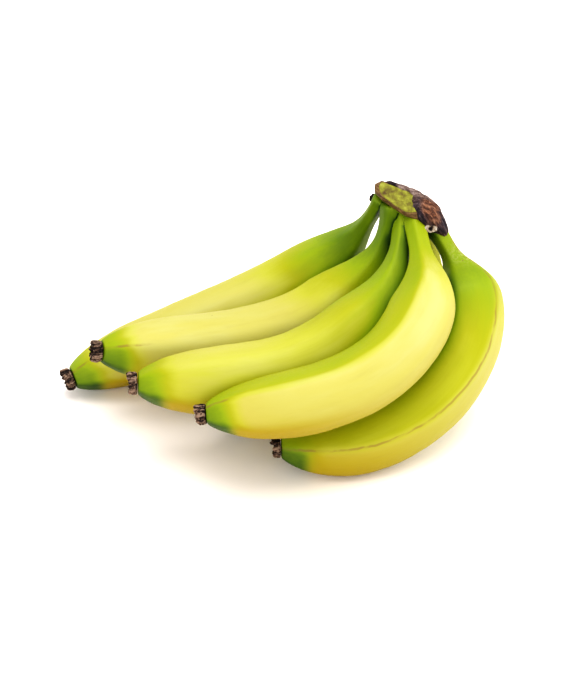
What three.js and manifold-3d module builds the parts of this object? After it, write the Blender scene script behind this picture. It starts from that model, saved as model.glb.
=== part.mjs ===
// Bunch of six bananas on one crown, lying on the backs of its outer row.
// Millimetres, +Z up. The fingers keep a hair gap from the crown, from their dried tips and from each other.

import * as THREE from 'three';
import Module from 'manifold-3d';

const wasm = await Module();
wasm.setup();
const { Manifold, Mesh } = wasm;

// Driving dimensions
const GAP = 0.3;
const SIDES = 20;
const RINGS = 38;
const END_EASE = 0.4;
const TAPER_LENGTH = 58;
const TAPER_POWER = 2.6;
const TAPER_FULLNESS = 0.8;
const FLARE_LENGTH = 13;
const RIDGES = 5;
const RIDGE_BELLY = 0.022;
const RIDGE_NECK = 0.04;
const RIDGE_TIP = 0.03;
const RIDGE_FADE = 1.6;
const THINNEST = 0.4;
const BLOCK_SIZE = 400;

// Centre lines run from inside the crown to the dried tip: start, neck, two on the shoulder, belly, waist and
// end.
// "back", "root", "neck" and "tip" are radii in mm; "narrow" and "swell" are the lengths over which the neck
// stays narrow and then widens; "dried" is the length of the dried tip. "turn" rolls the ridges round the
// finger at its start and "twist" rolls them further towards its end, in degrees.
const FINGERS = {
  banana_1: {
    line: [
      [49, 98, 104], [41, 109, 79], [28.5, 115, 58], [8, 114, 41],
      [-26, 104, 27.7], [-69, 86, 17.9], [-111, 68, 10.6],
    ],
    back: 16.7, root: 4.2, neck: 3.9, tip: 5.5, narrow: 20, swell: 56, dried: 5.6, turn: 8, twist: 0,
  },
  banana_2: {
    line: [
      [54, 95, 102], [49, 89, 79], [36.5, 86, 59], [18, 80, 43],
      [-14, 71, 34], [-54, 59, 36], [-93, 47, 45],
    ],
    back: 17.8, root: 5.4, neck: 4.6, tip: 5.2, narrow: 17, swell: 52, dried: 6.4, turn: 30, twist: 0,
  },
  banana_3: {
    line: [
      [60, 95, 97], [57.5, 77, 82], [50, 61, 69], [34, 45, 58],
      [6, 31, 48], [-33, 23, 45], [-73, 20, 46],
    ],
    back: 17.8, root: 5.4, neck: 4.9, tip: 5.4, narrow: 15, swell: 56, dried: 5.4, turn: 4, twist: 0,
  },
  banana_4: {
    line: [
      [65, 94, 96], [68.5, 71, 88], [70, 50, 80], [63, 28, 71.5],
      [40, 6, 61], [2, -5, 53], [-38, -6, 48],
    ],
    back: 16.8, root: 6.6, neck: 5.3, tip: 4.9, narrow: 20, swell: 41, dried: 6.6, turn: -16, twist: 0,
  },
  banana_5: {
    line: [
      [74, 94, 93], [86, 80, 78], [93, 65, 64], [90.5, 48, 48],
      [72.5, 27, 30.5], [38, 12, 17.4], [-2, 7, 15.3],
    ],
    back: 18.2, root: 6.0, neck: 4.6, tip: 5.0, narrow: 19, swell: 25.5, dried: 4.6, turn: 4, twist: 36,
  },
  banana_6: {
    line: [
      [68, 100, 91], [76.5, 97, 67], [79.2, 91, 46], [69, 79, 26],
      [42, 63, 15.9], [4, 46, 16.4], [-32, 29, 17],
    ],
    back: 16.0, root: 5.4, neck: 3.8, tip: 5.2, narrow: 30, swell: 44, dried: 5.8, turn: -10, twist: 0,
  },
};

// Crown: upright slices across its long direction, each with its place, half depth and half height.
const CROWN_SLICES = [
  { x: 45.5, y: 100, z: 108, depth: 2.2, height: 2.5 },
  { x: 49, y: 98.5, z: 107, depth: 6, height: 6 },
  { x: 55, y: 96.5, z: 104.5, depth: 8, height: 7.5 },
  { x: 61, y: 94.5, z: 101, depth: 9, height: 9 },
  { x: 67, y: 94.5, z: 99.2, depth: 9, height: 7.8 },
  { x: 74, y: 95, z: 95.5, depth: 8.5, height: 8 },
  { x: 79, y: 93, z: 91.5, depth: 6.5, height: 8 },
  { x: 82, y: 92, z: 88.5, depth: 3, height: 5.5 },
];
const CROWN_SQUARENESS = 2.6;
const CUT_POINT = [56, 91, 106.8];
const CUT_NORMAL = [0.133, -0.443, 0.886];
const RIM = 1.1;
const FLESH_DEPTH = 2;
const TORN_POINT = [67, 94, 100];
const TORN_NORMAL = [0.97, 0.05, 0.22];

// Dried tip: shares of its length from the end of the finger, and of the radius of that end.
const TIP_PROFILE = [
  [0, 0.94], [0.15, 1.05], [0.42, 1.02], [0.62, 0.84], [0.7, 0.56], [0.88, 0.46], [1, 0.3],
];
const TIP_SIDES = 14;
const TIP_LOBES = 7;
const LOBE_DEPTH = 0.09;
const ROOT_LOBE_DEPTH = 0.03;
const KNOB_START = 2;
const KNOB_SHIFT = 1.5;

function vector(values) {
  return new THREE.Vector3(values[0], values[1], values[2]);
}

function smooth(value) {
  const t = THREE.MathUtils.clamp(value, 0, 1);
  return t * t * (3 - 2 * t);
}

// Natural cubic spline through the points, stepped by the distance between them.
function splineThrough(points) {
  const knots = [0];
  for (let i = 1; i < points.length; i += 1) {
    knots.push(knots[i - 1] + points[i].distanceTo(points[i - 1]));
  }
  const last = points.length - 1;
  const bend = points.map(() => new THREE.Vector3());
  const weight = points.map(() => 0);
  const slope = (i) => points[i + 1].clone().sub(points[i]).divideScalar(knots[i + 1] - knots[i]);
  for (let i = 1; i < last; i += 1) {
    const before = knots[i] - knots[i - 1];
    const after = knots[i + 1] - knots[i];
    const pivot = 2 * (before + after) - before * weight[i - 1];
    weight[i] = after / pivot;
    const change = slope(i).sub(slope(i - 1)).multiplyScalar(6);
    bend[i] = change.addScaledVector(bend[i - 1], -before).divideScalar(pivot);
  }
  for (let i = last - 1; i > 0; i -= 1) {
    bend[i].addScaledVector(bend[i + 1], -weight[i]);
  }
  return (distance) => {
    let i = 0;
    while (i < last - 1 && distance > knots[i + 1]) {
      i += 1;
    }
    const width = knots[i + 1] - knots[i];
    const a = (knots[i + 1] - distance) / width;
    const b = 1 - a;
    return points[i].clone().multiplyScalar(a)
      .addScaledVector(points[i + 1], b)
      .addScaledVector(bend[i], ((a * a * a - a) * width * width) / 6)
      .addScaledVector(bend[i + 1], ((b * b * b - b) * width * width) / 6);
  };
}

// Centre line as a list of stations, each with its place, its distance from the start and a frame across it.
function stationsAlong(points, count) {
  const curve = splineThrough(points);
  const length = points.slice(1).reduce((sum, p, i) => sum + p.distanceTo(points[i]), 0);
  const places = [];
  for (let i = 0; i < count; i += 1) {
    const even = i / (count - 1);
    const eased = 0.5 - 0.5 * Math.cos(Math.PI * even);
    places.push(curve(length * ((1 - END_EASE) * even + END_EASE * eased)));
  }
  const chord = places[count - 1].clone().sub(places[0]).normalize();
  const middle = places[Math.floor(count / 2)].clone().sub(places[0]);
  const convex = middle.addScaledVector(chord, -middle.dot(chord)).normalize();
  const sideways = new THREE.Vector3().crossVectors(chord, convex).normalize();
  let distance = 0;
  return places.map((place, i) => {
    const from = places[Math.max(i - 1, 0)];
    const to = places[Math.min(i + 1, count - 1)];
    const along = to.clone().sub(from).normalize();
    const outward = new THREE.Vector3().crossVectors(sideways, along).normalize();
    const side = new THREE.Vector3().crossVectors(along, outward);
    if (i > 0) {
      distance += place.distanceTo(places[i - 1]);
    }
    return { place, along, outward, side, distance };
  });
}

// Radius of a finger at a distance from its start.
function girth(finger, distance, length) {
  const rise = smooth((distance - finger.narrow) / finger.swell);
  const neck = finger.neck + (finger.root - finger.neck) * (1 - smooth(distance / FLARE_LENGTH));
  const body = neck * (1 - rise) + finger.back * rise;
  const taper = Math.max(0, 1 - (length - distance) / TAPER_LENGTH);
  const end = finger.tip + (finger.back - finger.tip) * (1 - taper ** TAPER_POWER) ** TAPER_FULLNESS;
  return Math.min(body, end);
}

// How far the ridges stand out: most on the neck and the tip, little on the belly.
function ridgeHeight(finger, distance, length) {
  const fromNeck = 1 - smooth((distance - finger.narrow) / (RIDGE_FADE * finger.swell));
  const fromTip = 1 - smooth((length - distance) / TAPER_LENGTH);
  return RIDGE_BELLY + RIDGE_NECK * fromNeck + RIDGE_TIP * fromTip;
}

// Closed solid from rings of points, with a flat fan at each end.
function solidFromRings(rings) {
  const sides = rings[0].length;
  const points = [];
  const triangles = [];
  rings.forEach((ring) => ring.forEach((p) => points.push(p.x, p.y, p.z)));
  for (let i = 0; i < rings.length - 1; i += 1) {
    for (let j = 0; j < sides; j += 1) {
      const a = i * sides + j;
      const b = i * sides + ((j + 1) % sides);
      triangles.push(a, b, a + sides, b, b + sides, a + sides);
    }
  }
  for (const end of [0, rings.length - 1]) {
    const centre = new THREE.Vector3();
    rings[end].forEach((p) => centre.addScaledVector(p, 1 / sides));
    const hub = points.length / 3;
    points.push(centre.x, centre.y, centre.z);
    for (let j = 0; j < sides; j += 1) {
      const a = end * sides + j;
      const b = end * sides + ((j + 1) % sides);
      triangles.push(hub, ...(end === 0 ? [b, a] : [a, b]));
    }
  }
  const solid = new Manifold(new Mesh({
    numProp: 3,
    vertProperties: new Float32Array(points),
    triVerts: new Uint32Array(triangles),
  }));
  if (solid.volume() < 0) {
    throw new Error('rings run the wrong way round');
  }
  return solid;
}

// One finger, with every radius made larger by "extra".
function fingerSolid(finger, extra) {
  const stations = stationsAlong(finger.line.map(vector), RINGS);
  const length = stations[RINGS - 1].distance;
  const rings = stations.map((station) => {
    const turn = THREE.MathUtils.degToRad(finger.turn + (finger.twist * station.distance) / length);
    const radius = girth(finger, station.distance, length);
    const ridge = ridgeHeight(finger, station.distance, length);
    const ring = [];
    for (let j = 0; j < SIDES; j += 1) {
      const angle = (2 * Math.PI * j) / SIDES;
      const reach = radius * (1 - ridge * Math.cos(RIDGES * (angle - turn))) + extra;
      ring.push(station.place.clone()
        .addScaledVector(station.outward, reach * Math.cos(angle))
        .addScaledVector(station.side, reach * Math.sin(angle)));
    }
    return ring;
  });
  return solidFromRings(rings);
}

// Dried flower end, lobed like crumpled bark, with an off-centre knob.
function tipSolid(finger) {
  const stations = stationsAlong(finger.line.map(vector), RINGS);
  const end = stations[RINGS - 1];
  const last = TIP_PROFILE.length - 1;
  const rings = TIP_PROFILE.map(([distance, share], i) => {
    const centre = end.place.clone()
      .addScaledVector(end.along, GAP + distance * finger.dried)
      .addScaledVector(end.outward, (-KNOB_SHIFT * Math.max(0, i - KNOB_START)) / (last - KNOB_START));
    const lobe = i > 0 ? LOBE_DEPTH : ROOT_LOBE_DEPTH;
    const ring = [];
    for (let j = 0; j < TIP_SIDES; j += 1) {
      const angle = (2 * Math.PI * j) / TIP_SIDES;
      const reach = finger.tip * share * (1 + lobe * Math.cos(TIP_LOBES * angle + i));
      ring.push(centre.clone()
        .addScaledVector(end.outward, reach * Math.cos(angle))
        .addScaledVector(end.side, reach * Math.sin(angle)));
    }
    return ring;
  });
  return solidFromRings(rings);
}

// Crown before cutting, its slices made smaller by "inset" all round.
function crownBlank(inset) {
  const power = 2 / CROWN_SQUARENESS;
  const rings = CROWN_SLICES.map((slice) => {
    const depth = Math.max(THINNEST, slice.depth - inset);
    const height = Math.max(THINNEST, slice.height - inset);
    const ring = [];
    for (let j = 0; j < SIDES; j += 1) {
      const angle = (2 * Math.PI * j) / SIDES;
      const across = Math.cos(angle);
      const upward = Math.sin(angle);
      ring.push(new THREE.Vector3(
        slice.x,
        slice.y + depth * Math.sign(across) * Math.abs(across) ** power,
        slice.z + height * Math.sign(upward) * Math.abs(upward) ** power,
      ));
    }
    return ring;
  });
  return solidFromRings(rings);
}

// Turns a closed geometry into a solid.
function solidFromGeometry(geometry) {
  const position = geometry.getAttribute('position');
  const index = [];
  const points = [];
  const found = new Map();
  for (let i = 0; i < geometry.index.count; i += 1) {
    const v = geometry.index.getX(i);
    const p = [position.getX(v), position.getY(v), position.getZ(v)];
    const key = p.map((value) => value.toFixed(4)).join(' ');
    if (!found.has(key)) {
      found.set(key, points.length / 3);
      points.push(...p);
    }
    index.push(found.get(key));
  }
  return new Manifold(new Mesh({
    numProp: 3,
    vertProperties: new Float32Array(points),
    triVerts: new Uint32Array(index),
  }));
}

// Everything on the far side of a plane, as a big block standing on it.
function blockBeyond(point, normal, offset) {
  const up = vector(normal).normalize();
  const box = new THREE.BoxGeometry(BLOCK_SIZE, BLOCK_SIZE, BLOCK_SIZE);
  box.translate(0, 0, BLOCK_SIZE / 2 + offset);
  box.applyQuaternion(new THREE.Quaternion().setFromUnitVectors(new THREE.Vector3(0, 0, 1), up));
  box.translate(point[0], point[1], point[2]);
  return solidFromGeometry(box);
}

function meshFromSolid(solid, name, material) {
  const raw = solid.getMesh();
  const geometry = new THREE.BufferGeometry();
  geometry.setAttribute('position', new THREE.BufferAttribute(new Float32Array(raw.vertProperties), 3));
  geometry.setIndex(new THREE.BufferAttribute(new Uint32Array(raw.triVerts), 1));
  geometry.computeVertexNormals();
  const mesh = new THREE.Mesh(geometry, material);
  mesh.name = name;
  return mesh;
}

function peelMaterial() {
  return new THREE.MeshStandardMaterial({ color: 0xd6d42e, roughness: 0.45, metalness: 0 });
}

function driedTipMaterial() {
  return new THREE.MeshStandardMaterial({ color: 0x38271c, roughness: 0.9, metalness: 0 });
}

function barkMaterial() {
  return new THREE.MeshStandardMaterial({ color: 0x6e5836, roughness: 0.85, metalness: 0 });
}

function cutFleshMaterial() {
  return new THREE.MeshStandardMaterial({ color: 0xa3a046, roughness: 0.7, metalness: 0 });
}

function tornEndMaterial() {
  return new THREE.MeshStandardMaterial({ color: 0x3d2b27, roughness: 0.95, metalness: 0 });
}

// Fingers: each is trimmed by its earlier neighbours and by the floor.
function buildFingers() {
  const floor = blockBeyond([0, 0, 0], [0, 0, -1], 0);
  const names = Object.keys(FINGERS);
  const fingers = {};
  names.forEach((name, i) => {
    let solid = fingerSolid(FINGERS[name], 0);
    for (const earlier of names.slice(0, i)) {
      solid = solid.subtract(fingerSolid(FINGERS[earlier], GAP));
    }
    fingers[name] = solid.subtract(floor);
  });
  return fingers;
}

// Crown in three colours of body: bark, cut flesh set into it, and the dark torn end.
function buildCrown() {
  const aboveCut = blockBeyond(CUT_POINT, CUT_NORMAL, 0);
  const beyondTear = blockBeyond(TORN_POINT, TORN_NORMAL, 0);
  const nearTear = blockBeyond(TORN_POINT, TORN_NORMAL, -GAP);
  let whole = crownBlank(0);
  for (const finger of Object.values(FINGERS)) {
    whole = whole.subtract(fingerSolid(finger, GAP));
  }
  const belowFlesh = blockBeyond(CUT_POINT, CUT_NORMAL, -FLESH_DEPTH);
  const belowSocket = blockBeyond(CUT_POINT, CUT_NORMAL, -FLESH_DEPTH - GAP);
  const tearRim = blockBeyond(TORN_POINT, TORN_NORMAL, -RIM);
  const socketRim = blockBeyond(TORN_POINT, TORN_NORMAL, GAP - RIM);
  const flesh = crownBlank(RIM).intersect(belowFlesh).subtract(aboveCut).subtract(tearRim);
  const socket = crownBlank(RIM - GAP).intersect(belowSocket).subtract(socketRim);
  return {
    crown: whole.subtract(nearTear).subtract(aboveCut).subtract(socket),
    crown_flesh: flesh,
    crown_torn_end: whole.intersect(beyondTear),
  };
}

const group = new THREE.Group();
group.name = 'banana_bunch';

for (const [name, solid] of Object.entries(buildFingers())) {
  group.add(meshFromSolid(solid, name, peelMaterial()));
}
Object.values(FINGERS).forEach((finger, i) => {
  group.add(meshFromSolid(tipSolid(finger), `tip_${i + 1}`, driedTipMaterial()));
});
const crownBodies = buildCrown();
group.add(meshFromSolid(crownBodies.crown, 'crown', barkMaterial()));
group.add(meshFromSolid(crownBodies.crown_flesh, 'crown_flesh', cutFleshMaterial()));
group.add(meshFromSolid(crownBodies.crown_torn_end, 'crown_torn_end', tornEndMaterial()));

// The origin is under the middle of the bunch, on the floor.
const extent = new THREE.Box3().setFromObject(group);
const middle = extent.getCenter(new THREE.Vector3());
group.children.forEach((mesh) => mesh.geometry.translate(-middle.x, -middle.y, -extent.min.z));

export default group;
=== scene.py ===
import math
from collections import namedtuple

import bmesh
import bpy
from mathutils import Matrix, Vector, noise
from mathutils.bvhtree import BVHTree
from mathutils.kdtree import KDTree


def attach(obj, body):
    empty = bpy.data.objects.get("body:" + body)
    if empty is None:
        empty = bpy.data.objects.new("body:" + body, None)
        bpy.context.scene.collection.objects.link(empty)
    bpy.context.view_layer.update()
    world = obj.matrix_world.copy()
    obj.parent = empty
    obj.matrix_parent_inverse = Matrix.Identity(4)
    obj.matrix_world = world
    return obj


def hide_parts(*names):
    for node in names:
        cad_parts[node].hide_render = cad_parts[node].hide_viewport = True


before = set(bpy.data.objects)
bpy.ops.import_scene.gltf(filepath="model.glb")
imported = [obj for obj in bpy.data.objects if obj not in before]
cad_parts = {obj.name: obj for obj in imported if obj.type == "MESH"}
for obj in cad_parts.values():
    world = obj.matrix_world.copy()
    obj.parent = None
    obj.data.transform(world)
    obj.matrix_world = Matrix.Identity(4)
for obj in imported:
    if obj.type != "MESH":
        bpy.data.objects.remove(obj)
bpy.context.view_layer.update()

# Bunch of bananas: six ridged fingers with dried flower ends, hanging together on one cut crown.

# Sizes are in millimetres until a piece is placed. Places in the lists below are measured from this point.
MM = 0.001
MIDDLE = Vector((-2.756, 54.726, 0))

# Photo camera: a long lens looking down at the bunch
LOOK_AT = Vector((2.76, 6.27, 40.0))
CAMERA_ELEVATION = 38
CAMERA_DISTANCE = 1100
LENS = 112.9

# Fingers, as in the solid part: centre line from inside the crown to the dried tip, then radii and lengths
SIDES = 30
RINGS = 38
RIDGES = 5
FACET = 2 * math.pi / RIDGES
# Painted shade between fingers: peel within this reach of another finger is made greener and darker by this
# share, partly as its own green and partly as shade.
CREVICE_SHADE_REACH = 9
CREVICE_SHADE_GREEN = 0.38
TAPER_LENGTH = 58
FLARE_LENGTH = 13
GAP = 0.3
FINGERS = {
    "banana_1": {
        "line": [(49, 98, 104), (41, 109, 79), (28.5, 115, 58), (8, 114, 41),
                 (-26, 104, 27.7), (-69, 86, 17.9), (-111, 68, 10.6)],
        "back": 16.7, "root": 4.2, "neck": 3.9, "tip": 5.5,
        "narrow": 20, "swell": 56, "dried": 5.6, "turn": 8, "twist": 0,
    },
    "banana_2": {
        "line": [(54, 95, 102), (49, 89, 79), (36.5, 86, 59), (18, 80, 43),
                 (-14, 71, 34), (-54, 59, 36), (-93, 47, 45)],
        "back": 17.8, "root": 5.4, "neck": 4.6, "tip": 5.2,
        "narrow": 17, "swell": 52, "dried": 6.4, "turn": 30, "twist": 0,
    },
    "banana_3": {
        "line": [(60, 95, 97), (57.5, 77, 82), (50, 61, 69), (34, 45, 58),
                 (6, 31, 48), (-33, 23, 45), (-73, 20, 46)],
        "back": 17.8, "root": 5.4, "neck": 4.9, "tip": 5.4,
        "narrow": 15, "swell": 56, "dried": 5.4, "turn": 4, "twist": 0,
    },
    "banana_4": {
        "line": [(65, 94, 96), (68.5, 71, 88), (70, 50, 80), (63, 28, 71.5),
                 (40, 6, 61), (2, -5, 53), (-38, -6, 48)],
        "back": 16.8, "root": 6.6, "neck": 5.3, "tip": 4.9,
        "narrow": 20, "swell": 41, "dried": 6.6, "turn": -16, "twist": 0,
    },
    "banana_5": {
        "line": [(74, 94, 93), (86, 80, 78), (93, 65, 64), (90.5, 48, 48),
                 (72.5, 27, 30.5), (38, 12, 17.4), (-2, 7, 15.3)],
        "back": 18.2, "root": 6.0, "neck": 4.6, "tip": 5.0,
        "narrow": 19, "swell": 25.5, "dried": 4.6, "turn": 4, "twist": 36,
    },
    "banana_6": {
        "line": [(68, 100, 91), (76.5, 97, 67), (79.2, 91, 46), (69, 79, 26),
                 (42, 63, 15.9), (4, 46, 16.4), (-32, 29, 17)],
        "back": 16.0, "root": 5.4, "neck": 3.8, "tip": 5.2,
        "narrow": 30, "swell": 44, "dried": 5.8, "turn": -10, "twist": 0,
    },
}

# How ripe each finger is: "green" on its neck fades into "belly" from "shoulder" over "fade". "faces" says
# how much greener each of its five faces is, partly the peel's own green and partly painted shade on faces
# turned from the light. "worn" is the long edge with a reddish line, and its length from the tip. "pale" is
# the strength of the painted highlight, a cream on its side towards the light.
RIPENESS = {
    "banana_1": {
        "shoulder": 36, "fade": 84, "green": 0.76, "belly": 0.03, "worn": (2, 20), "pale": 1.0,
        "faces": (0, 0.10, 0, 0, 0),
    },
    "banana_2": {
        "shoulder": 4, "fade": 95, "green": 0.82, "belly": 0.02, "worn": (1, 16), "pale": 0.9,
        "faces": (0, 0.04, 0, 0, 0),
    },
    "banana_3": {
        "shoulder": 6, "fade": 120, "green": 0.70, "belly": 0.12, "worn": (2, 14), "pale": 0.6,
        "faces": (0.14, 0.10, 0.04, 0, 0.1),
    },
    "banana_4": {
        "shoulder": 10, "fade": 62, "green": 0.62, "belly": 0.05, "worn": (1, 8), "pale": 1.0,
        "faces": (-0.06, -0.06, 0.40, 0.3, 0.1),
    },
    "banana_5": {
        "shoulder": 26, "fade": 50, "green": 0.70, "belly": 0.42, "worn": (0, 165), "pale": 0.8,
        "faces": (-0.30, 0, 0.30, 0.3, -0.1),
    },
    "banana_6": {
        "shoulder": 40, "fade": 90, "green": 0.40, "belly": 0.24, "worn": (2, 10), "pale": 0.5,
        "faces": (0, 0, 0, 0, 0),
    },
}
# Direction of the light: faces turned towards it get a painted highlight and a yellower peel.
LIGHT_SIDE = Vector((0.74, -0.15, 0.65))
COLLAR_START = 4
COLLAR_FADE = 17
COLLAR_GREEN = 0.54
# Painted shade: a warm darker ochre on the underside near the tip, starting and fading at these distances
# from the tip.
UNDER_SHADE_START = 9
UNDER_SHADE_FADE = 80
WORN_FADE = 8
SCUFF_PLACE = Vector((92, 80, 84))
SCUFF_RADIUS = 13
# Faces of the front finger that get the painted highlight.
HIGHLIGHT_FACES = (1, 0, 0, 0, 1)

# Crown: upright slices across its long direction (x, y, z, half depth, half height)
CROWN_SLICES = [
    (45.5, 100, 108.4, 2.2, 2.2), (49, 98.5, 108.2, 6, 4.6), (55, 96.5, 105.8, 8, 5.4),
    (61, 94.5, 103, 9, 6.8), (67, 94.5, 99.5, 9, 7.5), (74, 95, 95, 8.5, 8.5),
    (79, 93, 91.5, 6.5, 8), (82, 92, 88.5, 3, 5.5),
]
# Torn end: the same for its fibrous skin, which hangs over the neck of the front finger in a point
TORN_SLICES = [
    (63.5, 95, 101, 6.5, 6), (66, 94.5, 100.4, 8.8, 7.8), (70, 94, 98.8, 9.6, 8.5),
    (74, 93.2, 96.6, 9.6, 8.2), (78, 92, 94.4, 8.4, 7.2), (81, 90.8, 90.6, 6.2, 6.6),
    (82.8, 89.6, 87.2, 3.4, 4.6), (83.6, 88.8, 84.4, 0.9, 1.4),
]
# Flap of dry skin along the back edge of the cut (x, y, z, radius)
FLAP = [
    (50.5, 100.6, 111.9, 0.3), (53, 100.2, 111.6, 1.0), (57, 99.3, 110.6, 1.5), (61, 98.4, 109.3, 1.8),
    (65, 97.2, 107.4, 2.4), (69, 96, 105, 3.2), (72, 95, 102, 3.4),
]
SLICE_SIDES = 24
STUB_LENGTH = 8
# Bark covers the crown down to a slanting edge: its height at the left end, and its fall to the right
BARK_EDGE_START = Vector((49, 0, 105))
BARK_EDGE_FALL = 0.34
FLESH_RIM = 0.3
FLESH_DEPTH = 1.8
# Planes of the knife cut and of the tear
CUT_POINT = Vector((56, 91, 106.8))
CUT_NORMAL = Vector((0.133, -0.443, 0.886))
TORN_POINT = Vector((67, 94, 100))
TORN_NORMAL = Vector((0.97, 0.05, 0.22))
# Place below the torn end towards which its fibres are swept
FIBRES_MEET = Vector((88, 88, 74))

# Scar of a broken-off finger on the torn end: height along its facing and radius
SCAR_PLACE = Vector((73.6, 82.9, 95.4))
SCAR_FACING = Vector((0.15, -0.85, 0.35))
SCAR_PROFILE = [
    (-2.5, 3.0), (-0.6, 3.3), (0.1, 3.1), (0.35, 2.6), (0.15, 2.0), (-0.15, 1.4), (-0.3, 1.0), (-1.2, 0.7),
    (-2.0, 0.5),
]
SCAR_HOLE = 0.7
CHIP_PLACE = Vector((44.6, 102.5, 101.2))
CHIP_PROFILE = [(-2.4, 0.5), (-1.6, 1.2), (-0.4, 1.6), (0.8, 1.4), (1.8, 0.9), (2.4, 0.4)]

Station = namedtuple("Station", "place along outward side distance")


def smooth(value):
    t = min(max(value, 0.0), 1.0)
    return t * t * (3 - 2 * t)


def placed(point):
    """A place of the lists above, in metres in the row frame."""
    return (Vector(point) - MIDDLE) * MM


def spline_through(points):
    """Natural cubic spline through the points; gives a place for a distance, and the whole length."""
    knots = [0.0]
    for before, point in zip(points, points[1:]):
        knots.append(knots[-1] + (point - before).length)
    last = len(points) - 1
    bend = [Vector((0, 0, 0)) for _ in points]
    weight = [0.0] * len(points)

    def slope(i):
        return (points[i + 1] - points[i]) / (knots[i + 1] - knots[i])

    for i in range(1, last):
        before = knots[i] - knots[i - 1]
        after = knots[i + 1] - knots[i]
        pivot = 2 * (before + after) - before * weight[i - 1]
        weight[i] = after / pivot
        bend[i] = ((slope(i) - slope(i - 1)) * 6 - bend[i - 1] * before) / pivot
    for i in range(last - 1, 0, -1):
        bend[i] = bend[i] - bend[i + 1] * weight[i]

    def place_at(distance):
        i = 0
        while i < last - 1 and distance > knots[i + 1]:
            i += 1
        width = knots[i + 1] - knots[i]
        a = (knots[i + 1] - distance) / width
        b = 1 - a
        curve = bend[i] * (a ** 3 - a) + bend[i + 1] * (b ** 3 - b)
        return points[i] * a + points[i + 1] * b + curve * (width * width / 6)

    return place_at, knots[-1]


def stations_along(line, count):
    """Centre line as stations: place, direction, the way to the outer side of the bend, and distance."""
    place_at, length = spline_through([Vector(p) for p in line])
    places = []
    for i in range(count):
        even = i / (count - 1)
        eased = 0.5 - 0.5 * math.cos(math.pi * even)
        places.append(place_at(length * (0.6 * even + 0.4 * eased)))
    places.insert(count - 1, place_at(length - 0.6))
    count += 1
    chord = (places[-1] - places[0]).normalized()
    middle = places[count // 2] - places[0]
    convex = (middle - chord * middle.dot(chord)).normalized()
    sideways = chord.cross(convex).normalized()
    stations = []
    distance = 0.0
    for i, place in enumerate(places):
        along = (places[min(i + 1, count - 1)] - places[max(i - 1, 0)]).normalized()
        outward = sideways.cross(along).normalized()
        if i > 0:
            distance += (place - places[i - 1]).length
        stations.append(Station(place, along, outward, along.cross(outward), distance))
    return stations


def girth(finger, distance, length):
    """Radius of a finger at a distance from its start."""
    rise = smooth((distance - finger["narrow"]) / finger["swell"])
    neck = finger["neck"] + (finger["root"] - finger["neck"]) * (1 - smooth(distance / FLARE_LENGTH))
    body = neck * (1 - rise) + finger["back"] * rise
    taper = max(0.0, 1 - (length - distance) / TAPER_LENGTH)
    end = finger["tip"] + (finger["back"] - finger["tip"]) * (1 - taper ** 2.6) ** 0.8
    return min(body, end)


def ridge_height(finger, distance, length):
    """Share of the radius by which the five long edges stand out."""
    from_neck = 1 - smooth((distance - finger["narrow"]) / (1.6 * finger["swell"]))
    from_tip = 1 - smooth((length - distance) / TAPER_LENGTH)
    return 0.042 + 0.04 * from_neck + 0.03 * from_tip


# Modelling steps


def deselect_all():
    if bpy.context.object and bpy.context.object.mode != "OBJECT":
        bpy.ops.object.mode_set(mode="OBJECT")
    bpy.ops.object.select_all(action="DESELECT")


def pick(piece):
    deselect_all()
    piece.select_set(True)
    bpy.context.view_layer.objects.active = piece


def facing(station, roll=0.0):
    """Turn of a section: its own z runs along the finger and its own x to the outer side."""
    turn = Matrix((station.outward, station.side, station.along)).transposed()
    return (turn @ Matrix.Rotation(roll, 3, "Z")).to_euler()


def ring(sides, place, turn, radius):
    bpy.ops.mesh.primitive_circle_add(
        vertices=sides, radius=radius * MM, location=placed(place), rotation=turn)


def loft(name, sections, sides):
    """Circles placed as sections (place, turn, radius in millimetres) and bridged one to the next."""
    deselect_all()
    place, turn, radius = sections[0]
    ring(sides, place, turn, radius)
    piece = bpy.context.object
    piece.name = name
    bpy.ops.object.transform_apply(location=True, rotation=True, scale=True)
    bpy.ops.object.mode_set(mode="EDIT")
    for place, turn, radius in sections[1:]:
        ring(sides, place, turn, radius)
        mesh = bmesh.from_edit_mesh(piece.data)
        mesh.verts.ensure_lookup_table()
        for vertex in mesh.verts[-2 * sides:]:
            vertex.select_set(True)
        mesh.select_flush(True)
        bmesh.update_edit_mesh(piece.data)
        bpy.ops.mesh.bridge_edge_loops()
    close_end(piece, 0, sides)
    close_end(piece, (len(sections) - 1) * sides, sides)
    bpy.ops.mesh.select_all(action="SELECT")
    bpy.ops.mesh.normals_make_consistent(inside=False)
    bpy.ops.object.mode_set(mode="OBJECT")
    return piece


def close_end(piece, first, sides):
    """Fills one end ring with a fan."""
    bpy.ops.mesh.select_all(action="DESELECT")
    mesh = bmesh.from_edit_mesh(piece.data)
    mesh.verts.ensure_lookup_table()
    for vertex in mesh.verts[first:first + sides]:
        vertex.select_set(True)
    mesh.select_flush(True)
    bmesh.update_edit_mesh(piece.data)
    bpy.ops.mesh.edge_face_add()
    bpy.ops.mesh.poke()


def subdivide_surface(piece, levels):
    pick(piece)
    rounding = piece.modifiers.new("rounding", "SUBSURF")
    rounding.levels = levels
    rounding.render_levels = levels
    bpy.ops.object.modifier_apply(modifier=rounding.name)


def keep_outside(piece, neighbour):
    """Presses a piece flat where it would go into its neighbour."""
    pick(piece)
    press = piece.modifiers.new("press", "SHRINKWRAP")
    press.target = neighbour
    press.wrap_method = "NEAREST_SURFACEPOINT"
    press.wrap_mode = "OUTSIDE"
    press.offset = GAP * MM
    bpy.ops.object.modifier_apply(modifier=press.name)


def remesh(piece, voxel):
    pick(piece)
    skin = piece.modifiers.new("skin", "REMESH")
    skin.mode = "VOXEL"
    skin.voxel_size = voxel * MM
    bpy.ops.object.modifier_apply(modifier=skin.name)


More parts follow.
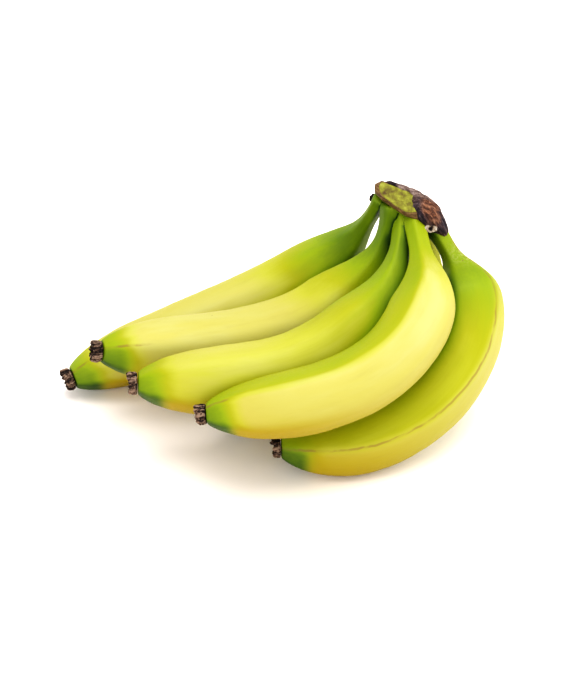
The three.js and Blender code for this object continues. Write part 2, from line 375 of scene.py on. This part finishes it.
def relax(piece, times):
    pick(piece)
    ease = piece.modifiers.new("ease", "SMOOTH")
    ease.factor = 0.5
    ease.iterations = times
    bpy.ops.object.modifier_apply(modifier=ease.name)


def join(pieces):
    pick(pieces[0])
    for piece in pieces[1:]:
        piece.select_set(True)
    bpy.ops.object.join()
    return bpy.context.object


def push(piece, height_at):
    """Moves each point along its normal by a height in millimetres."""
    mesh = piece.data
    heights = [height_at(vertex.co / MM, vertex.normal) for vertex in mesh.vertices]
    for vertex, height, normal in zip(mesh.vertices, heights, [v.normal.copy() for v in mesh.vertices]):
        vertex.co += normal * (height * MM)
    mesh.update()


def lay_on_floor(piece):
    """Flattens what would go through the floor."""
    for vertex in piece.data.vertices:
        vertex.co.z = max(vertex.co.z, 0.0)
    piece.data.update()


def store(piece, name, values, kind="FLOAT"):
    layer = piece.data.attributes.new(name, kind, "POINT")
    layer.data.foreach_set("value" if kind == "FLOAT" else "vector", values)


def shade_smooth(piece):
    pick(piece)
    bpy.ops.object.shade_smooth()


def finish_piece(piece, slot, material, *nodes):
    piece.data.materials.clear()
    piece.data.materials.append(material)
    shade_smooth(piece)
    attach(piece, "root")
    if nodes:
        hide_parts(*nodes)


# Fingers


def roll_at(finger, distance, length):
    """How far the ridges are rolled round the finger."""
    return math.radians(finger["turn"] + finger["twist"] * distance / length)


def finger_sections(finger):
    stations = stations_along(finger["line"], RINGS)
    length = stations[-1].distance
    shrink = (2 + math.cos(2 * math.pi / SIDES)) / 3
    return [
        (s.place, facing(s, roll_at(finger, s.distance, length)), girth(finger, s.distance, length) / shrink)
        for s in stations
    ]


def raise_ridges(piece, finger):
    """Pulls the five long edges out of the round tube and makes the faces between them flatter."""
    stations = stations_along(finger["line"], RINGS)
    length = stations[-1].distance
    for i, station in enumerate(stations):
        centre = placed(station.place)
        roll = roll_at(finger, station.distance, length)
        ridge = ridge_height(finger, station.distance, length)
        for vertex in piece.data.vertices[i * SIDES:(i + 1) * SIDES]:
            reach = vertex.co - centre
            angle = math.atan2(reach.dot(station.side), reach.dot(station.outward)) - roll
            from_face = (angle + FACET / 2) % FACET - FACET / 2
            corner = math.cos(FACET / 2) / math.cos(from_face) / 0.872 - 1
            vertex.co = centre + reach * (1 + corner * ridge / 0.11)
    piece.data.update()


def straighten(piece, finger):
    """Where each point is on the finger: distance along it, angle round it and distance from its middle."""
    stations = stations_along(finger["line"], 4 * RINGS)
    length = stations[-1].distance
    tree = KDTree(len(stations))
    for i, station in enumerate(stations):
        tree.insert(station.place, i)
    tree.balance()
    spots = []
    for vertex in piece.data.vertices:
        point = vertex.co / MM + MIDDLE
        nearest = stations[tree.find(point)[1]]
        reach = point - nearest.place
        distance = nearest.distance + reach.dot(nearest.along)
        angle = math.atan2(reach.dot(nearest.side), reach.dot(nearest.outward))
        spots.append((distance, angle, reach.length))
    return spots, length


def face_value(faces, turned):
    """Value of the face at an angle from the first face's middle, blended with the next one's at the edge."""
    position = (turned / FACET) % RIDGES
    nearest = int(position + 0.5)
    beside = position - nearest
    neighbour = nearest + (1 if beside > 0 else -1)
    share = 0.5 * smooth((abs(beside) - 0.36) / 0.14)
    return faces[nearest % RIDGES] * (1 - share) + faces[neighbour % RIDGES] * share


def unripe(ripeness, distance, angle, turned, from_tip, normal):
    """How green the peel is: green at the neck, yellow on the belly, and a green collar at the tip. Faces
    towards the light are made yellower as painted light, and the collar is darker on its underside as painted
    shade.
    """
    shoulder = 1 - smooth((distance - ripeness["shoulder"]) / ripeness["fade"])
    # Painted light: faces towards the light are made yellower and faces away greener. The five face values
    # are partly the peel's own green and partly painted shade.
    towards_light = smooth((normal.dot(LIGHT_SIDE) + 0.15) / 0.9)
    body = ripeness["belly"] + (ripeness["green"] - ripeness["belly"]) * shoulder
    body += 0.10 * (0.5 - towards_light) + face_value(ripeness["faces"], turned) * smooth((distance - 20) / 45)
    ragged = 2.2 * noise.noise(Vector((math.cos(angle) * 1.7, math.sin(angle) * 1.7, from_tip * 0.05)))
    # Painted shade: the collar is greener and darker on its underside, and reaches further along it.
    below = smooth(0.75 - 0.7 * normal.z)
    collar = 1 - smooth((from_tip - COLLAR_START - 5 * below + ragged) / COLLAR_FADE)
    return body + max(COLLAR_GREEN + 0.40 * below - body, 0) * collar


def banana(name):
    finger = FINGERS[name]
    piece = loft(name + "_peel", finger_sections(finger), SIDES)
    raise_ridges(piece, finger)
    subdivide_surface(piece, 2)
    spots, length = straighten(piece, finger)
    mark_peel(piece, name, spots, length)
    push(piece, lambda point, normal: 0.35 * noise.noise(point / 21) + 0.12 * noise.noise(point / 6))
    return piece


def mark_crevice_shade(pieces):
    """Stores how closely another finger lies in front of each point: peel there is made greener and darker,
    partly as the peel's own green and partly as painted shade between the fingers.
    """
    for piece in pieces:
        corners = []
        faces = []
        for other in pieces:
            if other is not piece:
                first = len(corners)
                corners += [vertex.co for vertex in other.data.vertices]
                faces += [[first + corner for corner in face.vertices] for face in other.data.polygons]
        others = BVHTree.FromPolygons(corners, faces)
        values = []
        for vertex in piece.data.vertices:
            spot, _, _, distance = others.find_nearest(vertex.co, CREVICE_SHADE_REACH * MM)
            shade = 0.0
            if spot:
                ahead = (spot - vertex.co).normalized().dot(vertex.normal)
                shade = (1 - smooth(distance / (CREVICE_SHADE_REACH * MM))) * smooth(0.2 + 0.9 * ahead)
            values.append(shade)
        store(piece, "crevice_shade", values)


def mark_peel(piece, name, spots, length):
    """Stores what the peel's colour needs at each point."""
    finger = FINGERS[name]
    ripeness = RIPENESS[name]
    worn_edge, worn_length = ripeness["worn"]
    front = name == "banana_5"
    values = {"unripe": [], "towards_light": [], "under_shade": [], "from_line": [], "worn": [], "scuffed": []}
    straight = []
    for vertex, (distance, angle, reach) in zip(piece.data.vertices, spots):
        from_tip = length - distance
        below = smooth(0.6 - 0.8 * vertex.normal.z)
        turned = angle - roll_at(finger, distance, length)
        from_edge = (turned - FACET * (worn_edge + 0.5) + math.pi) % (2 * math.pi) - math.pi
        # Strength of the painted highlight on this point's face.
        pale = ripeness["pale"] * (face_value(HIGHLIGHT_FACES, turned) if front else 1)
        from_scuff = (vertex.co / MM + MIDDLE - SCUFF_PLACE).length
        # Painted shade: warm ochre on the underside, in a band near the tip.
        under_shade = smooth((from_tip - UNDER_SHADE_START) / 8) * (1 - smooth((from_tip - 22) / UNDER_SHADE_FADE))
        values["unripe"].append(unripe(ripeness, distance, angle, turned, from_tip, vertex.normal))
        values["towards_light"].append(smooth((vertex.normal.dot(LIGHT_SIDE) - 0.2) / 0.7) * pale)
        values["under_shade"].append(below * under_shade)
        values["from_line"].append(min(max(from_edge * reach, -8), 8))
        values["worn"].append(1 - smooth((from_tip - worn_length) / WORN_FADE))
        values["scuffed"].append(1 - smooth(from_scuff / SCUFF_RADIUS) if front else 0)
        straight += [reach * math.cos(angle), reach * math.sin(angle), distance]
    for key, marks in values.items():
        store(piece, key, marks)
    store(piece, "straight", straight, "FLOAT_VECTOR")


# Materials


class Paint:
    """One material's nodes, made from its last mix backwards in plain steps."""

    def __init__(self, name):
        self.material = bpy.data.materials.new(name)
        self.material.use_nodes = True
        self.tree = self.material.node_tree
        self.shader = self.tree.nodes["Principled BSDF"]

    def node(self, kind, inputs=None, **settings):
        made = self.tree.nodes.new(kind)
        for key, value in settings.items():
            setattr(made, key, value)
        for key, value in (inputs or {}).items():
            self.feed(made.inputs[key], value)
        return made

    def feed(self, socket, value):
        if isinstance(value, bpy.types.NodeSocket):
            self.tree.links.new(value, socket)
        else:
            socket.default_value = value

    def attribute(self, name, output="Fac"):
        return self.node("ShaderNodeAttribute", attribute_name=name).outputs[output]

    def place(self, stretch=(1, 1, 1), source=None):
        source = source or self.node("ShaderNodeTexCoord").outputs["Object"]
        mapping = self.node("ShaderNodeMapping", {"Vector": source})
        mapping.inputs["Scale"].default_value = stretch
        return mapping.outputs["Vector"]

    def noise(self, vector, scale, detail=3.0, roughness=0.5):
        made = self.node("ShaderNodeTexNoise", {"Vector": vector, "Scale": scale, "Detail": detail,
                                               "Roughness": roughness})
        return made.outputs["Fac"]

    def maths(self, operation, a, b=0.0, clamp=False):
        made = self.node("ShaderNodeMath", operation=operation, use_clamp=clamp)
        self.feed(made.inputs[0], a)
        self.feed(made.inputs[1], b)
        return made.outputs[0]

    def fit(self, value, low, high, to_low=0.0, to_high=1.0):
        made = self.node("ShaderNodeMapRange", {"Value": value, "From Min": low, "From Max": high,
                                               "To Min": to_low, "To Max": to_high},
                         interpolation_type="SMOOTHSTEP")
        return made.outputs["Result"]

    def ramp(self, value, stops):
        made = self.node("ShaderNodeValToRGB", {"Fac": value})
        spots = made.color_ramp.elements
        while len(spots) < len(stops):
            spots.new(0.5)
        for spot, (place, colour) in zip(spots, stops):
            spot.position = place
            spot.color = (*colour, 1)
        return made.outputs["Color"]

    def mix(self, share, first, second, blend="MIX"):
        made = self.node("ShaderNodeMix", data_type="RGBA", blend_type=blend)
        self.feed(made.inputs[0], share)
        for socket, value in ((made.inputs[6], first), (made.inputs[7], second)):
            self.feed(socket, value if isinstance(value, bpy.types.NodeSocket) else (*value, 1))
        return made.outputs[2]

    def bump(self, height, depth):
        made = self.node("ShaderNodeBump", {"Height": height, "Distance": depth, "Strength": 1.0})
        self.feed(self.shader.inputs["Normal"], made.outputs["Normal"])

    def shade(self, **values):
        names = {"colour": "Base Color", "roughness": "Roughness", "specular": "Specular IOR Level"}
        for key, value in values.items():
            self.feed(self.shader.inputs[names[key]], value)
        return self.material


YELLOW = (0.42, 0.38, 0.080)
LIME_YELLOW = (0.39, 0.385, 0.032)
OLIVE_YELLOW = (0.315, 0.32, 0.003)
LIME = (0.225, 0.29, 0.001)
LEAF_GREEN = (0.115, 0.185, 0.001)
DEEP_GREEN = (0.018, 0.055, 0.003)
# Warm ochre of the painted shade on the undersides.
SHADE_OCHRE = (0.33, 0.24, 0.002)
# Cream of the painted highlight on the lit side, and of the rubbed patch.
CREAM_AND_HIGHLIGHT = (0.44, 0.425, 0.17)
BROWN = (0.14, 0.06, 0.02)
REDDISH = (0.20, 0.09, 0.035)


def peel_colours(paint, unripe_share):
    return paint.ramp(unripe_share, [(0.0, YELLOW), (0.2, LIME_YELLOW), (0.38, OLIVE_YELLOW), (0.6, LIME),
                                     (0.8, LEAF_GREEN), (1.0, DEEP_GREEN)])


def peel_material():
    paint = Paint("waxy peel")
    straight = paint.attribute("straight", "Vector")
    blotch = paint.noise(paint.place((1, 1, 0.35), straight), 0.05, 2.0)
    streak = paint.noise(paint.place((1, 1, 0.045), straight), 0.8, 4.0, 0.6)
    share = paint.maths("ADD", paint.attribute("unripe"), paint.fit(blotch, 0.3, 0.7, -0.05, 0.05))
    # Greener and darker near another finger: partly the peel's own green, partly painted shade.
    share = paint.maths("ADD", share, paint.maths("MULTIPLY", paint.attribute("crevice_shade"), CREVICE_SHADE_GREEN))
    share = paint.maths("ADD", share, paint.fit(streak, 0.3, 0.7, -0.015, 0.015), clamp=True)
    colour = peel_colours(paint, share)
    yellow = paint.fit(share, 0.5, 0.15)
    # Painted shade: warm ochre on the underside near the tip.
    colour = paint.mix(paint.attribute("under_shade"), colour, SHADE_OCHRE)
    # Painted highlight: cream on faces towards the light, in patches and only where the peel is yellow.
    patch = paint.fit(paint.noise(paint.place((1, 1, 0.25), straight), 0.09, 3.0), 0.35, 0.7, 0.25, 0.8)
    pale = paint.maths("MULTIPLY", paint.maths("MULTIPLY", paint.attribute("towards_light"), patch), yellow)
    colour = paint.mix(pale, colour, CREAM_AND_HIGHLIGHT)
    colour = worn_line(paint, straight, colour)
    colour = freckles(paint, straight, colour)
    mottle = paint.noise(paint.place((1, 1, 0.12), straight), 0.35, 5.0, 0.6)
    colour = paint.mix(paint.fit(mottle, 0.5, 0.75, 0.0, 0.05), colour, BROWN)
    fine = paint.noise(paint.place((1, 1, 0.3), straight), 2.2, 4.0, 0.6)
    paint.bump(fine, 0.00005)
    return paint.shade(colour=colour, roughness=paint.fit(fine, 0.3, 0.7, 0.45, 0.58), specular=0.22)


def worn_line(paint, straight, colour):
    """Thin reddish line along one long edge."""
    wander = paint.noise(paint.place((0, 0, 0.12), straight), 1.0, 3.0)
    beside = paint.maths("ADD", paint.attribute("from_line"), paint.fit(wander, 0.3, 0.7, -0.35, 0.35))
    line = paint.fit(paint.maths("ABSOLUTE", beside), 0.95, 0.25)
    broken = paint.fit(paint.noise(paint.place((0.3, 0.3, 0.10), straight), 1.0, 3.0), 0.38, 0.56, 0.12, 0.5)
    strength = paint.maths("MULTIPLY", paint.maths("MULTIPLY", line, broken), paint.attribute("worn"))
    return paint.mix(strength, colour, REDDISH)


def freckles(paint, straight, colour):
    """Pale rubbed patch with brown freckles, and a few specks everywhere."""
    grain = paint.noise(paint.place((1, 1, 0.8), straight), 0.9, 4.0, 0.6)
    rubbed = paint.maths("MULTIPLY", paint.attribute("scuffed"), paint.fit(grain, 0.45, 0.6, 0.0, 0.5))
    colour = paint.mix(rubbed, colour, CREAM_AND_HIGHLIGHT)
    spots = paint.node("ShaderNodeTexVoronoi", {"Vector": straight, "Scale": 0.8})
    dots = paint.fit(spots.outputs["Distance"], 0.34, 0.2)
    dense = paint.fit(paint.attribute("scuffed"), 0.1, 0.8, 0.985, 0.45)
    chosen = paint.maths("GREATER_THAN", spots.outputs["Color"], dense)
    return paint.mix(paint.maths("MULTIPLY", paint.maths("MULTIPLY", dots, chosen), 0.7), colour, BROWN)


def dried_material():
    paint = Paint("dried flower end")
    grain = paint.noise(paint.place((800, 800, 800)), 1.0, 5.0, 0.65)
    raised = paint.maths("ADD", paint.attribute("raised"), paint.fit(grain, 0.25, 0.75, -0.35, 0.35))
    colour = paint.ramp(raised, [(0.15, (0.012, 0.007, 0.006)), (0.5, (0.075, 0.042, 0.028)),
                                 (0.85, (0.26, 0.18, 0.13))])
    fleck = paint.fit(paint.noise(paint.place((1500, 1500, 1500)), 1.0, 2.0), 0.66, 0.72)
    colour = paint.mix(paint.maths("MULTIPLY", fleck, 0.5), colour, (0.55, 0.45, 0.30))
    paint.bump(grain, 0.0004)
    return paint.shade(colour=colour, roughness=0.85, specular=0.2)


def bark_material():
    paint = Paint("crown bark")
    grain = paint.noise(paint.place((260, 260, 900)), 1.0, 5.0, 0.65)
    bark = paint.ramp(grain, [(0.3, (0.04, 0.018, 0.008)), (0.5, (0.14, 0.08, 0.03)),
                              (0.7, (0.27, 0.17, 0.07))])
    wobble = paint.noise(paint.place((300, 300, 300)), 1.0, 3.0)
    share = paint.maths("ADD", paint.attribute("bark"), paint.fit(wobble, 0.3, 0.7, -0.2, 0.2))
    green = peel_colours(paint, paint.fit(wobble, 0.2, 0.8, 0.66, 0.84))
    colour = paint.mix(paint.fit(share, 0.4, 0.6), green, bark)
    edge = paint.maths("MULTIPLY", paint.fit(share, 0.3, 0.48), paint.fit(share, 0.7, 0.5))
    colour = paint.mix(paint.maths("MULTIPLY", edge, 0.8), colour, (0.07, 0.035, 0.015))
    paint.bump(grain, 0.0003)
    return paint.shade(colour=colour, roughness=0.65, specular=0.3)


def flesh_material():
    paint = Paint("cut crown flesh")
    grain = paint.noise(paint.place((260, 260, 260)), 1.0, 5.0, 0.65)
    colour = paint.ramp(grain, [(0.3, (0.07, 0.035, 0.006)), (0.44, (0.15, 0.135, 0.010)),
                                (0.6, (0.235, 0.235, 0.022)), (0.75, (0.34, 0.32, 0.08))])
    paint.bump(grain, 0.0004)
    return paint.shade(colour=colour, roughness=0.6, specular=0.3)


def torn_material():
    paint = Paint("torn crown end")
    straight = paint.attribute("straight", "Vector")
    fibre = paint.noise(paint.place((1.5, 1.5, 0.12), straight), 1.0, 5.0, 0.72)
    patch = paint.noise(paint.place((0.25, 0.25, 0.15), straight), 1.0, 2.0)
    black = paint.ramp(fibre, [(0.35, (0.006, 0.004, 0.007)), (0.52, (0.032, 0.020, 0.027)),
                               (0.7, (0.13, 0.10, 0.11))])
    red = paint.ramp(fibre, [(0.35, (0.018, 0.008, 0.006)), (0.5, (0.12, 0.045, 0.022)),
                             (0.68, (0.34, 0.16, 0.08))])
    skin = paint.ramp(fibre, [(0.35, (0.05, 0.032, 0.028)), (0.5, (0.18, 0.12, 0.10)),
                              (0.68, (0.36, 0.28, 0.24))])
    # Red on the upper side is painted light over the fibres' own red; the black below is painted shade.
    in_red = paint.maths("ADD", paint.attribute("lit_red_top"), paint.fit(patch, 0.3, 0.7, -0.25, 0.25), True)
    in_skin = paint.maths("ADD", paint.attribute("skin"), paint.fit(patch, 0.3, 0.7, -0.2, 0.2), True)
    colour = paint.mix(in_red, black, red)
    colour = paint.mix(in_skin, colour, skin)
    paint.bump(fibre, 0.0008)
    return paint.shade(colour=colour, roughness=0.72, specular=0.25)


def scar_material():
    paint = Paint("broken finger scar")
    grain = paint.noise(paint.place((900, 900, 900)), 1.0, 4.0, 0.6)
    pale = paint.ramp(grain, [(0.35, (0.10, 0.06, 0.04)), (0.48, (0.30, 0.23, 0.16)),
                              (0.64, (0.46, 0.42, 0.36))])
    colour = paint.mix(paint.attribute("hole"), pale, (0.012, 0.008, 0.006))
    paint.bump(grain, 0.0003)
    return paint.shade(colour=colour, roughness=0.7, specular=0.3)


# Dried flower ends

TIP_PROFILE = [(0, 0.9), (0.04, 1.0), (0.16, 1.05), (0.32, 1.06), (0.5, 1.02), (0.66, 0.94), (0.78, 0.8),
               (0.76, 0.62), (0.58, 0.48), (0.42, 0.3), (0.4, 0.12)]
TIP_SIDES = 32


def dried_tip(number):
    finger = FINGERS[f"banana_{number}"]
    end = stations_along(finger["line"], RINGS)[-1]
    sections = [
        (end.place + end.along * (GAP + share * finger["dried"]), facing(end), finger["tip"] * radius)
        for share, radius in TIP_PROFILE
    ]
    piece = loft(f"dried_end_{number}", sections, TIP_SIDES)
    subdivide_surface(piece, 2)
    crumple(piece, end, finger, number)
    return piece


def crumple(piece, end, finger, number):
    """Dries the flower end: long folds, a ragged rim and a small horn on its upper side."""
    seed = number * 7.3
    root = placed(end.place)
    upward = Vector((-0.3, 0, 1))
    upper = (upward - end.along * upward.dot(end.along)).normalized()
    raised = []
    for vertex in piece.data.vertices:
        reach = (vertex.co - root) / MM
        distance = reach.dot(end.along)
        across = reach - end.along * distance
        radius = max(across.length, 0.01)
        spoke = across / radius
        share = min(max(distance / finger["dried"], 0), 1)
        fold = noise.noise(spoke * 2.4 + Vector((seed, distance * 0.1, 0)))
        wrinkle = noise.noise(spoke * 6.5 + Vector((0, seed, distance * 0.3)))
        ragged = noise.noise(spoke * 3.1 + Vector((0, 0, seed)))
        pit = noise.noise(vertex.co / MM * 1.3 + Vector((0, seed, 0)))
        outer = smooth(radius / finger["tip"] * 1.7 - 0.6)
        rim = smooth((share - 0.35) / 0.3) * outer
        horn = smooth((spoke.dot(upper) - 0.80) / 0.16) * rim
        out = (0.9 * fold + 0.8 * wrinkle) * (0.1 + share) * outer + 0.5 * horn
        lift = 1.6 * ragged * rim + 1.3 * horn
        vertex.co += (spoke * (out + 0.35 * pit) + end.along * lift) * MM
        raised.append(0.45 + 0.9 * wrinkle + 0.5 * fold + 0.5 * pit - 0.35 * (1 - outer))
    piece.data.update()
    store(piece, "raised", raised)


# Crown


def sideways():
    """Turn of a circle that faces along the crown."""
    return Matrix.Rotation(math.radians(90), 3, "Y").to_euler()


def crown_blank(name, slices):
    """Round body through upright oval slices."""
    piece = loft(name, [((x, y, z), sideways(), 1.0) for x, y, z, _, _ in slices], SLICE_SIDES)
    for i, (x, y, z, depth, height) in enumerate(slices):
        centre = placed((x, y, z))
        for vertex in piece.data.vertices[i * SLICE_SIDES:(i + 1) * SLICE_SIDES]:
            reach = vertex.co - centre
            vertex.co = centre + Vector((0, reach.y * depth, reach.z * height))
    return piece


def stub(name):
    """Root of a finger inside its neck, from which it grows out of the crown."""
    finger = FINGERS[name]
    stations = stations_along(finger["line"], 4 * RINGS)
    length = stations[-1].distance
    sections = []
    for s in stations[1::3]:
        if s.distance > STUB_LENGTH:
            break
        inset = 0.25 + 0.6 * smooth((s.distance - 2) / 5)
        sections.append((s.place, facing(s), girth(finger, s.distance, length) - inset))
    return loft("stub", sections, 20)


def cut_off(piece, point, normal):
    """Saws off what is beyond a plane and fills the cut."""
    pick(piece)
    bpy.ops.object.mode_set(mode="EDIT")
    bpy.ops.mesh.select_all(action="SELECT")
    bpy.ops.mesh.bisect(plane_co=placed(point), plane_no=normal, use_fill=True, clear_outer=True)
    bpy.ops.object.mode_set(mode="OBJECT")


def crown_bark():
    """Crown with the roots of all fingers, sawn off at the knife cut and at the tear."""
    piece = join([crown_blank("crown_bark", CROWN_SLICES)] + [stub(name) for name in FINGERS])
    remesh(piece, 0.4)
    relax(piece, 4)
    cut_off(piece, CUT_POINT, CUT_NORMAL)
    cut_off(piece, TORN_POINT, TORN_NORMAL)
    marks = []
    for vertex in piece.data.vertices:
        point = vertex.co / MM + MIDDLE
        lower_edge = BARK_EDGE_START.z - BARK_EDGE_FALL * (point.x - BARK_EDGE_START.x)
        marks.append(smooth((point.z - lower_edge) / 1.6 + 0.5))
    store(piece, "bark", marks)
    return piece


def crown_flesh(bark):
    """Cut face of the crown inside its thin rim, lifted off it as a slab."""
    pick(bark)
    bpy.ops.object.mode_set(mode="EDIT")
    bpy.ops.mesh.select_all(action="DESELECT")
    mesh = bmesh.from_edit_mesh(bark.data)
    for face in mesh.faces:
        face.select_set(face.calc_area() > 20 * MM * MM and face.normal.dot(CUT_NORMAL) > 0.9)
    bmesh.update_edit_mesh(bark.data)
    bpy.ops.mesh.inset(thickness=FLESH_RIM * MM, depth=0)
    bpy.ops.mesh.duplicate()
    bpy.ops.mesh.separate(type="SELECTED")
    bpy.ops.object.mode_set(mode="OBJECT")
    piece = [o for o in bpy.context.selected_objects if o is not bark][0]
    piece.name = "cut_flesh"
    pick(piece)
    bpy.ops.object.mode_set(mode="EDIT")
    bpy.ops.mesh.select_all(action="SELECT")
    bpy.ops.transform.translate(value=CUT_NORMAL * GAP * MM)
    bpy.ops.mesh.extrude_region_move(TRANSFORM_OT_translate={"value": CUT_NORMAL * -FLESH_DEPTH * MM})
    bpy.ops.mesh.select_all(action="SELECT")
    bpy.ops.mesh.normals_make_consistent(inside=False)
    bpy.ops.object.mode_set(mode="OBJECT")
    remesh(piece, 0.3)
    relax(piece, 2)
    push(piece, lambda p, n: 0.14 * noise.noise(p / 1.4))
    return piece


def crown_torn_end():
    """Fibrous end with a flap of dry skin that runs on along the back edge of the cut."""
    end = crown_blank("torn_end", TORN_SLICES)
    subdivide_surface(end, 2)
    flap = loft("flap", [((x, y, z), sideways(), radius) for x, y, z, radius in FLAP], 16)
    subdivide_surface(flap, 1)
    piece = join([end, flap])
    remesh(piece, 0.3)
    relax(piece, 3)
    sweep_fibres(piece)
    return piece


def sweep_fibres(piece):
    """Raises the fibres of the torn end and stores their course and colours."""
    fibres = []
    lit_red_top = []
    skin = []
    for vertex in piece.data.vertices:
        point = vertex.co / MM + MIDDLE
        from_slice = point.x - 70
        spoke = Vector((0, point.y - 94 + 0.12 * from_slice, point.z - 98.5 + 0.75 * from_slice)).normalized()
        swept = point - FIBRES_MEET
        fan = 17 * math.atan2(swept.x, swept.z)
        fibres += [fan, 0.55 * point.y, swept.length]
        between = smooth((point.x - 67) / 4) * smooth((82 - point.x) / 7)
        behind = smooth((78 - point.x) / 6) * smooth((point.y - 92) / 4)
        # The fibres' red is their own, but keeping it to the upper side is painted light from above, and the
        # black below is painted shade.
        lit_red_top.append(between * smooth((spoke.z + 0.05) / 0.7))
        skin.append(behind * smooth((spoke.z - 0.62) / 0.25))
        fine = noise.noise(Vector((fan * 1.5, point.y * 0.7, swept.length * 0.16)))
        coarse = noise.noise(Vector((fan * 0.4, point.y * 0.3, swept.length * 0.14)))
        vertex.co += vertex.normal * (0.5 * fine + 0.5 * coarse) * MM
    store(piece, "straight", fibres, "FLOAT_VECTOR")
    store(piece, "lit_red_top", lit_red_top)
    store(piece, "skin", skin)
    piece.data.update()


def scar():
    """Pale scar of a broken-off finger, with a dark hole."""
    turn = SCAR_FACING.to_track_quat("Z", "Y").to_euler()
    way = SCAR_FACING.normalized()
    sections = [(SCAR_PLACE + way * height, turn, radius) for height, radius in SCAR_PROFILE]
    piece = loft("finger_scar", sections, 20)
    subdivide_surface(piece, 2)
    pick(piece)
    bpy.ops.object.mode_set(mode="EDIT")
    bpy.ops.mesh.select_all(action="SELECT")
    bpy.ops.transform.resize(value=(1.12, 1, 0.56), center_override=placed(SCAR_PLACE))
    bpy.ops.object.mode_set(mode="OBJECT")
    push(piece, lambda p, n: 0.55 * noise.noise(p / 1.5))
    deep = []
    for vertex in piece.data.vertices:
        reach = vertex.co / MM + MIDDLE - SCAR_PLACE
        height = reach.dot(way)
        flat = reach - way * height
        deep.append(1 - smooth((flat.length - SCAR_HOLE) / SCAR_HOLE))
    store(piece, "hole", deep)
    return piece


def bark_chip():
    """Small black chip of dried skin behind the neck of the back finger."""
    upright = Matrix.Identity(3).to_euler()
    lean = 0.25
    sections = [(CHIP_PLACE + Vector((lean * h, 0, h)), upright, radius) for h, radius in CHIP_PROFILE]
    piece = loft("bark_chip", sections, 14)
    subdivide_surface(piece, 2)
    push(piece, lambda p, n: 0.5 * noise.noise(p / 1.2))
    return piece


# Room


def studio():
    deselect_all()
    bpy.ops.mesh.primitive_plane_add(size=6, location=(0, 0, 0))
    floor = bpy.context.object
    floor.name = "floor"
    paint = Paint("white paper")
    soft = paint.noise(paint.place((3, 3, 3)), 1.0, 2.0)
    paint.shade(colour=paint.mix(soft, (0.95, 0.88, 0.84), (0.96, 0.90, 0.86)), roughness=0.9, specular=0.1)
    floor.data.materials.append(paint.material)


def soft_light(name, place, size, watts):
    data = bpy.data.lights.new(name, "AREA")
    data.shape = "DISK"
    data.size = size
    data.energy = watts
    lamp = bpy.data.objects.new(name, data)
    bpy.context.scene.collection.objects.link(lamp)
    lamp.location = place
    lamp.rotation_euler = (LOOK_AT * MM - Vector(place)).to_track_quat("-Z", "Y").to_euler()


def lights():
    world = bpy.data.worlds.new("white room")
    bpy.context.scene.world = world
    world.use_nodes = True
    world.node_tree.nodes["Background"].inputs["Color"].default_value = (1, 1, 1, 1)
    world.node_tree.nodes["Background"].inputs["Strength"].default_value = 0.95
    soft_light("overhead", (0.15, 0.0, 1.5), 1.3, 12)
    soft_light("right", (1.2, 0.1, 0.7), 0.8, 5)
    soft_light("front fill", (-0.7, -1.2, 0.6), 1.2, 4)
    bpy.context.scene.view_settings.view_transform = "Standard"
    bpy.context.scene.view_settings.look = "High Contrast"


def camera():
    data = bpy.data.cameras.new("photo camera")
    data.lens = LENS
    data.sensor_width = 36
    data.clip_start = 0.05
    data.clip_end = 20
    eye = bpy.data.objects.new("photo camera", data)
    bpy.context.scene.collection.objects.link(eye)
    up = math.radians(CAMERA_ELEVATION)
    back = Vector((0, -math.cos(up), math.sin(up)))
    eye.location = (LOOK_AT + back * CAMERA_DISTANCE) * MM
    eye.rotation_euler = (-back).to_track_quat("-Z", "Y").to_euler()
    bpy.context.scene.camera = eye


camera()
studio()
lights()

peel = peel_material()
dried = dried_material()
made = {}
for name in FINGERS:
    made[name] = banana(name)
    for earlier in list(made)[:-1]:
        keep_outside(made[name], made[earlier])
    lay_on_floor(made[name])
mark_crevice_shade(list(made.values()))
for name, piece in made.items():
    finish_piece(piece, "peel", peel, name)
for number in range(1, 7):
    finish_piece(dried_tip(number), "dried_tip", dried, f"tip_{number}")
bark = crown_bark()
finish_piece(crown_flesh(bark), "cut_flesh", flesh_material(), "crown_flesh")
finish_piece(bark, "bark", bark_material(), "crown")
finish_piece(crown_torn_end(), "torn_end", torn_material(), "crown_torn_end")
finish_piece(scar(), "torn_end", scar_material())
finish_piece(bark_chip(), "torn_end", dried)
